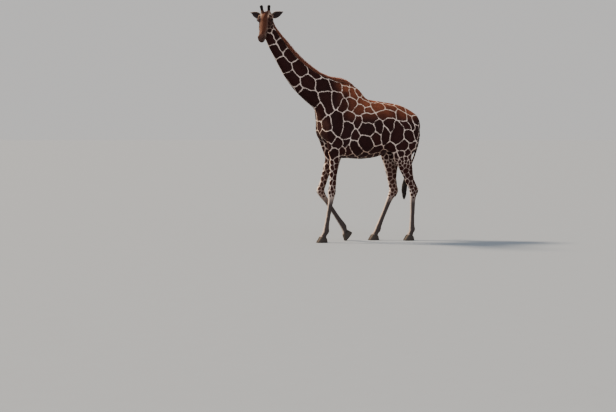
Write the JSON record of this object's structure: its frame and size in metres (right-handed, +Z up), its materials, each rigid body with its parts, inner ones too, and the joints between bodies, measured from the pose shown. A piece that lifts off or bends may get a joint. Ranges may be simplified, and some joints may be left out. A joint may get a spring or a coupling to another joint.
{
  "type": "reticulated giraffe model",
  "caption": "Life-size still model of a reticulated giraffe in a slow walk, neck raised forwards, looking to its left, for a museum or natural scene.",
  "frame": {"origin": "on the floor, under the middle of the whole giraffe's bounding box", "axes": "+Z up; the giraffe walks towards -X and its left side faces -Y"},
  "size_m": [3.425, 0.696, 4.4505],
  "materials": {
    "coat": "short flat hair, dark chestnut patches parted by narrow cream lines",
    "ossicone": "short hair with a black tuft at the tip",
    "mane": "short stiff upright red-brown hair",
    "tail_tuft": "long coarse black hair",
    "eye": "wet, very dark brown",
    "hoof": "dry grey-brown horn"
  },
  "bodies": {
    "root": {"head": "coat", "lower_jaw": "coat", "ear_left": "coat", "ear_right": "coat", "ossicone_left": "ossicone", "ossicone_right": "ossicone", "eye_left": "eye", "eye_right": "eye", "neck_upper": "coat", "neck_lower": "coat", "mane": "mane", "trunk": "coat", "tail": "coat", "tail_tuft": "tail_tuft", "fore_left_upper": "coat", "fore_left_lower": "coat", "fore_right_upper": "coat", "fore_right_lower": "coat", "hind_left_upper": "coat", "hind_left_lower": "coat", "hind_right_upper": "coat", "hind_right_lower": "coat", "hoof_fore_left_outer": "hoof", "hoof_fore_left_inner": "hoof", "hoof_fore_right_outer": "hoof", "hoof_fore_right_inner": "hoof", "hoof_hind_left_outer": "hoof", "hoof_hind_left_inner": "hoof", "hoof_hind_right_outer": "hoof", "hoof_hind_right_inner": "hoof"}
  },
  "joints": []
}
